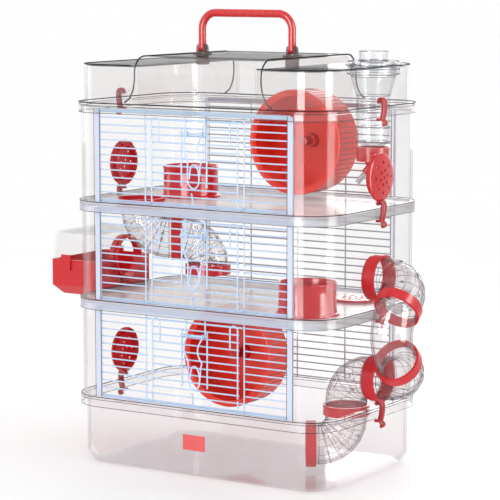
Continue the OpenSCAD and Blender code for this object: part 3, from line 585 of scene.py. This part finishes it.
WY = GY + 1.7
DX, LX = 3.4, 7.5   # the door sits a little right of the middle, and its latch a little more
for st in (1, 2, 3):
    b = B[st - 1]
    paths = []
    for k in range(12):
        z = b + 4 + k * PITCH
        if k < 2:
            paths.append([(-147.5, WY, z), (147.5, WY, z)])
        else:
            paths.append([(-147.5, WY, z), (DX - 75, WY, z)])
            paths.append([(DX + 75, WY, z), (147.5, WY, z)])
    for sg in (-1, 1):
        paths.append([(sg * 146, GY, b + 1), (sg * 146, GY, b + 121)])
        hook = [(DX + sg * 76, GY, b + 121), (DX + sg * 76, GY, b + 60), (DX + sg * 76, GY, b + 8)]
        arc = [(DX + sg * 71 + sg * 5 * math.cos(math.radians(q)), GY, b + 7.5 + 5 * math.sin(math.radians(q))) for q in range(0, -181, -15)]
        paths.append(hook + arc + [(DX + sg * 66, GY, b + 17)])
    v1, f1 = merge([rod_data(q, 0.9, 10) for q in paths] + [rod_data([(-77, GY, b + HZ), (77, GY, b + HZ)], 1.3, 12), rod_data([(0, GY + 1.2, b + 1.5), (0, GY + 1.2, b + 12), (0, GY, b + 17), (0, GY - 1.5, b + 19.5)], 1.0, 10)])
    # top and bottom rails with softened edges
    rl = []
    for x0, x1, z0, z1, y0, y1 in ((-147.5, 147.5, 118.5, 124, -131.6, -128.4), (-147.5, 147.5, 0.4, 2.6, -129.4, -126.0)):
        e = 0.5
        sec = [(y0 + e, z0), (y1 - e, z0), (y1, z0 + e), (y1, z1 - e), (y1 - e, z1), (y0 + e, z1), (y0, z1 - e), (y0, z0 + e)]
        rv = [(x, q[0], b + q[1]) for x in (x0, x1) for q in sec]
        rl.append((rv, grid_faces(2, 8) + [tuple(reversed(range(8))), tuple(range(8, 16))]))
    v2, f2 = merge([(v1, f1)] + rl)
    o_ = put(f"front_wires_{st}", v2, f2, M_WIRE, slot="wire", sharp=50)
    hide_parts(f"grille_front_{st}")
    # pale posts where the grille meets the end walls, with a thin dark joint line
    pv = []
    for sg in (-1, 1):
        for yy in (-1, 1):
            e = 0.6
            xa, xb = sg * (144.2 if yy < 0 else 149.6), sg * 152.4
            ya, yb = yy * 131.9, yy * 129.2
            sec = [(xa + sg * e, ya), (xb - sg * e, ya), (xb, ya - yy * e), (xb, yb), (xa, yb), (xa, ya - yy * e)]
            rv = [(q[0], q[1], b + z) for z in (1.2, 122.5) for q in sec]
            n_ = len(sec)
            pv.append((rv, grid_faces(2, n_) + [tuple(reversed(range(n_))), tuple(range(n_, 2 * n_))]))
    v3, f3 = merge(pv)
    put(f"grille_posts_{st}", v3, f3, M_POST, slot="wire", sharp=30)
    rods(f"post_lines_{st}", [[(sg * u, -132.1, b + 0.6), (sg * u, -132.1, b + 123)] for sg in (-1, 1) for u in (153.0, 143.9)], 0.45, M_SOFT_EDGE_SHADE_AND_JOINT, 6, slot="clear")
    # door
    dp = []
    for k in range(2, 11):
        z = b + 4 + k * PITCH
        dp.append([(DX - 67, WY, z), (DX + 67, WY, z)])
    for sg in (-1, 1):
        arch = [(DX + sg * 60.2 + sg * 5.8 * math.cos(math.radians(q)), GY, b + 107.8 + 5.8 * math.sin(math.radians(q))) for q in range(0, 181, 15)]
        dp.append([(DX + sg * 66, GY, b + 19.5), (DX + sg * 66, GY, b + 60)] + arch + [(DX + sg * 54.4, GY, b + 100), (DX + sg * 54.4, GY, b + 84)])
        dp.append([(DX + sg * 19.5, GY, b + 28), (DX + sg * 19.5, GY, b + 103)])
        dp.append([(DX + sg * 17, LY, b + LZ), (DX + sg * 17, GY + 0.3, b + LZ)])
        dp.append([(6.8 + sg * 15, -132.9, b + LZ), (6.8 + sg * 15, -132.9, b + 117.2)])
    dp.append([(DX - 20.5, GY, b + LZ), (DX + 20.5, GY, b + LZ)])
    dp.append([(DX - 13, -132.4, b + LZ), (DX + 20.2, -132.4, b + LZ)])
    v4, f4 = merge([rod_data(q, 1.0, 10) for q in dp] + [rod_data([(DX - 18, LY, b + LZ), (DX + 18, LY, b + LZ)], 1.4, 12)])
    o_ = put(f"door_wires_{st}", v4, f4, M_WIRE, body=f"door_{st}", slot="wire", sharp=50)
    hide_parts(f"door_{st}")
    # latch: bent wire with a finger loop
    z0 = b
    left = smooth_path([(-11.5, LY, z0 + 98.6), (-13.2, LY - 0.4, z0 + 93), (-15.7, LY - 0.4, z0 + 87), (-16.4, LY - 0.4, z0 + 78), (-15, LY - 0.4, z0 + 71.4), (-11, LY - 0.4, z0 + 64), (-10.4, LY, z0 + 56),
                        (-10.6, LY, z0 + 40), (-8.4, LY, z0 + 30.5), (-1.6, LY, z0 + 26), (5, LY, z0 + 30), (7, LY, z0 + 39), (6, LY, z0 + 48), (3, LY, z0 + 54.5), (-1.4, LY, z0 + 56.6),
                        (-5.2, LY, z0 + 54), (-7, LY, z0 + 47), (-8, LY, z0 + 38)], 6)
    right = smooth_path([(11.5, LY, z0 + 98.6), (10.6, LY - 0.4, z0 + 93), (7, LY - 0.4, z0 + 86.5), (4.5, LY - 0.4, z0 + 80), (4.6, LY - 0.4, z0 + 73.5), (7.2, LY - 0.4, z0 + 67), (10.6, LY - 0.4, z0 + 61.5),
                         (8.8, LY - 0.2, z0 + 55), (8.0, LY, z0 + 46), (7.0, LY, z0 + 39)], 6)
    eyes = []
    for ex in (-11.5, 11.5):
        eyes.append([(ex + 0.8 * math.sin(q / 2), LY + 2.5 * math.cos(q), z0 + LZ + 2.5 * math.sin(q)) for q in [2 * math.pi * m / 20 for m in range(20)]])
    v5, f5 = merge([rod_data(left, 1.0, 10), rod_data(right, 1.0, 10)] + [rod_data(q, 0.95, 8, True) for q in eyes])
    v5 = [(q[0] + LX, q[1], q[2]) for q in v5]
    o_ = put(f"latch_wires_{st}", v5, f5, M_WIRE, body=f"latch_{st}", slot="wire", sharp=50)
    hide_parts(f"latch_{st}")

# ------------------------------------------------------------------ wall plugs: shallow domes with round air holes
def plug_dome(cx, sgx, cz, r=31.0, h0=2.2, h1=6.0):
    """Disc with real holes, built from a square grid clipped to the disc with the hole cells left open."""
    vs, fs = [], []
    nr, na = 26, 96
    holes = [(0.0, 0.0)] + [(9.5 * math.cos(math.radians(60 * k + 15)), 9.5 * math.sin(math.radians(60 * k + 15))) for k in range(6)] + \
            [(19.5 * math.cos(math.radians(45 * k)), 19.5 * math.sin(math.radians(45 * k))) for k in range(8)]
    # square grid clipped to the disc, snapped round the holes
    import bmesh
    bm = bmesh.new()
    n = 52
    step = 2 * r / n
    keep = {}
    for i in range(n + 1):
        for j in range(n + 1):
            x, y = -r + i * step, -r + j * step
            d = math.hypot(x, y)
            if d > r + step * 0.71:
                continue
            if d > r - step * 0.5:
                x, y = x * r / d, y * r / d
            for hx, hy in holes:
                hd = math.hypot(x - hx, y - hy)
                if 0.05 < hd < 2.2 + step * 0.45:
                    if hd > 2.2 - step * 0.75:
                        x, y = hx + (x - hx) * 2.2 / hd, hy + (y - hy) * 2.2 / hd
            keep[i, j] = (x, y)
    def height(x, y):
        d = min(1.0, math.hypot(x, y) / r)
        return h0 + (h1 - h0) * (1 - d * d) if d < 0.97 else h0 - (d - 0.97) / 0.03 * 0.8
    top, bot = {}, {}
    for key_, (x, y) in keep.items():
        top[key_] = bm.verts.new((sgx * (SX + 0.1 + height(x, y)) + cx, y, cz + x))
        bot[key_] = bm.verts.new((sgx * (SX + 0.1 + max(0.05, height(x, y) - 2.4)) + cx, y, cz + x))
    cells = set()
    for i in range(n):
        for j in range(n):
            q = [(i, j), (i + 1, j), (i + 1, j + 1), (i, j + 1)]
            if not all(k in keep for k in q):
                continue
            mx = sum(keep[k][0] for k in q) / 4
            my = sum(keep[k][1] for k in q) / 4
            if any(math.hypot(mx - hx, my - hy) < 2.05 for hx, hy in holes):
                continue
            cells.add((i, j))
            bm.faces.new([top[k] for k in q])
            bm.faces.new([bot[k] for k in reversed(q)])
    for (i, j) in cells:
        for (ni, nj), a_, b_ in (((i - 1, j), (i, j + 1), (i, j)), ((i + 1, j), (i + 1, j), (i + 1, j + 1)), ((i, j - 1), (i, j), (i + 1, j)), ((i, j + 1), (i + 1, j + 1), (i, j + 1))):
            if (ni, nj) not in cells:
                bm.faces.new([top[b_], top[a_], bot[a_], bot[b_]])
    bmesh.ops.recalc_face_normals(bm, faces=bm.faces)
    loose = [v for v in bm.verts if not v.link_faces]
    bmesh.ops.delete(bm, geom=loose, context="VERTS")
    bm.verts.ensure_lookup_table()
    bm.verts.index_update()
    vs = [v.co.copy() for v in bm.verts]
    fs = [tuple(v.index for v in f.verts) for f in bm.faces]
    bm.free()
    return vs, fs


def sleeve(sgx, cz, r0=29.0, r1=27.2, x0=-8.0, x1=1.0, n=72):
    vs = []
    for k in range(n):
        a = 2 * math.pi * k / n
        for rr_, xx in ((r0, x0), (r0, x1), (r1, x1), (r1, x0)):
            vs.append((sgx * (SX + xx), rr_ * math.cos(a), cz + rr_ * math.sin(a)))
    return vs, grid_faces(n, 4, close_r=True)


first = None
for i, (sgx, st) in enumerate(((1, 3), (-1, 3), (-1, 1))):
    cz = B[st - 1] + PORT
    h0 = 8.0 if sgx > 0 else 5.5
    v_, f_ = merge([plug_dome(0, sgx, cz, h0=h0, h1=h0 + 3.6), sleeve(sgx, cz, r0=24.5, r1=23.0, x0=-1.5, x1=h0 + 0.4)])
    o_ = put(f"port_plug_{i}", v_, f_, M_RING, slot="red", sharp=45)
    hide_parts("wall_plugs")

# ------------------------------------------------------------------ bottle rings
def circ(cx, cy, z, r, n=64):
    return [(cx + r * math.cos(2 * math.pi * k / n), cy + r * math.sin(2 * math.pi * k / n), z) for k in range(n)]


# dark rings at the bottle's lid, neck and holder: painted shade lines at the clear edges
rods("bottle_lid_edges", [circ(149, 75, 536.0, 34), circ(149, 75, 548.8, 19.3), circ(149, 75, 537.0, 19.5)], 0.5, M_SOFT_EDGE_SHADE_AND_JOINT, 6, True, body="bottle", slot="clear")
rods("bottle_neck_edges", [circ(149, 75, 531.5, 30), circ(149, 75, 516, 30), circ(149, 75, 491, 22.7), circ(149, 75, 470, 22.6), circ(149, 75, 450, 22.6), circ(149, 75, 430.5, 22.6)], 0.4, M_SOFT_EDGE_SHADE_AND_JOINT, 6, True, body="bottle", slot="clear")
rods("holder_edges", [circ(149, 75, 519.2, 34.8), circ(149, 75, 526, 35)], 0.45, M_SOFT_EDGE_SHADE_AND_JOINT, 6, True, slot="clear")

# ------------------------------------------------------------------ handle feet
fp = []
for s_ in (-1, 1):
    cx = s_ * 70
    for dx in (-5.6, 5.6):
        w0, w1 = dx - 1.1, dx + 1.1
        rv = []
        prof = [(-5.2, 544.4), (5.2, 544.4), (5.0, 551), (3.4, 555), (0, 556.4), (-3.4, 555), (-5.0, 551)]
        for xx in (w0, w1):
            rv += [(cx + xx, q[0], q[1]) for q in prof]
        fp.append((rv, grid_faces(2, 7) + [tuple(reversed(range(7))), tuple(range(7, 14))]))
    # pin and the shallow plate on the roof, and the clip-in foot below it
    fp.append(rod_data([(cx - 6.9, 0, 551), (cx + 6.9, 0, 551)], 1.95, 24))
    for hx, hy, z0, z1 in ((9.2, 9.7, 543.05, 544.5), (6.7, 7.7, 529.2, 543.1)):
        e = 1.2
        sec = [(-hx + e, -hy), (hx - e, -hy), (hx, -hy + e), (hx, hy - e), (hx - e, hy), (-hx + e, hy), (-hx, hy - e), (-hx, -hy + e)]
        rv = [(cx + q[0], q[1], z) for z in (z0, z1) for q in sec]
        fp.append((rv, grid_faces(2, 8) + [tuple(reversed(range(8))), tuple(range(8, 16))]))
v_, f_ = merge(fp)
o_ = put("handle_mounts", v_, f_, M_FOOT, slot="hood_clear", sharp=30)
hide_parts("handle_feet")

# ------------------------------------------------------------------ floor, lights, camera
me = bpy.data.meshes.new("studio_floor")
me.from_pydata([(-30, -30, -0.0003), (30, -30, -0.0003), (30, 30, -0.0003), (-30, 30, -0.0003)], [], [(0, 1, 2, 3)])
M_GROUND, _t, _out = new_mat("pale_ground")
_p = _t.nodes.new("ShaderNodeBsdfPrincipled")
_r = ramp(_t, noise(_t, 2.0).outputs["Fac"], [(0.3, (0.93, 0.93, 0.93)), (0.7, (0.95, 0.95, 0.95))])
_t.links.new(_r.outputs["Color"], _p.inputs["Base Color"])
_p.inputs["Roughness"].default_value = 0.55
_t.links.new(_p.outputs["BSDF"], _out.inputs["Surface"])
me.materials.append(M_GROUND)
ground = bpy.data.objects.new("studio_floor", me)
SCENE.collection.objects.link(ground)

world = bpy.data.worlds.new("studio")
SCENE.world = world
world.use_nodes = True
world.node_tree.nodes["Background"].inputs["Color"].default_value = (1, 1, 1, 1)
world.node_tree.nodes["Background"].inputs["Strength"].default_value = 1.05


def softbox(name, az, dist, z0, z1, width, radiance, diffuse=False):
    ld = bpy.data.lights.new(name, "AREA")
    ld.shape = "RECTANGLE"
    ld.size = width
    ld.size_y = z1 - z0
    ld.energy = radiance * math.pi * width * (z1 - z0)
    o = bpy.data.objects.new(name, ld)
    a = math.radians(az)
    o.location = (dist * math.sin(a), -dist * math.cos(a), (z0 + z1) / 2)
    d = Vector((-o.location.x, -o.location.y, 0.0))
    o.rotation_euler = d.to_track_quat("-Z", "Y").to_euler()
    o.visible_camera = False
    o.visible_diffuse = diffuse
    SCENE.collection.objects.link(o)
    return o


softbox("softbox_front", 3, 1.15, 0.02, 1.2, 0.50, 15.0)
softbox("softbox_right", 92, 1.15, 0.02, 1.2, 0.50, 13.0)
softbox("softbox_left", -75, 1.3, 0.02, 1.2, 0.35, 2.5)
softbox("softbox_rear", 190, 1.5, 0.3, 1.3, 0.9, 3.0)
key = softbox("key", -20, 2.2, 0.8, 2.4, 1.6, 0.9, True)

A, E, DIST = math.radians(32.583), math.radians(7.366), 2.984675
TARGET = Vector((0.00355, 0.00227, 0.284532))
cam_data = bpy.data.cameras.new("camera")
cam_data.sensor_width = 36.0
cam_data.lens = 161.6
cam_data.clip_end = 100
cam = bpy.data.objects.new("camera", cam_data)
cam.location = TARGET + DIST * Vector((math.sin(A) * math.cos(E), -math.cos(A) * math.cos(E), math.sin(E)))
cam.rotation_euler = (TARGET - cam.location).to_track_quat("-Z", "Y").to_euler()
SCENE.collection.objects.link(cam)
SCENE.camera = cam
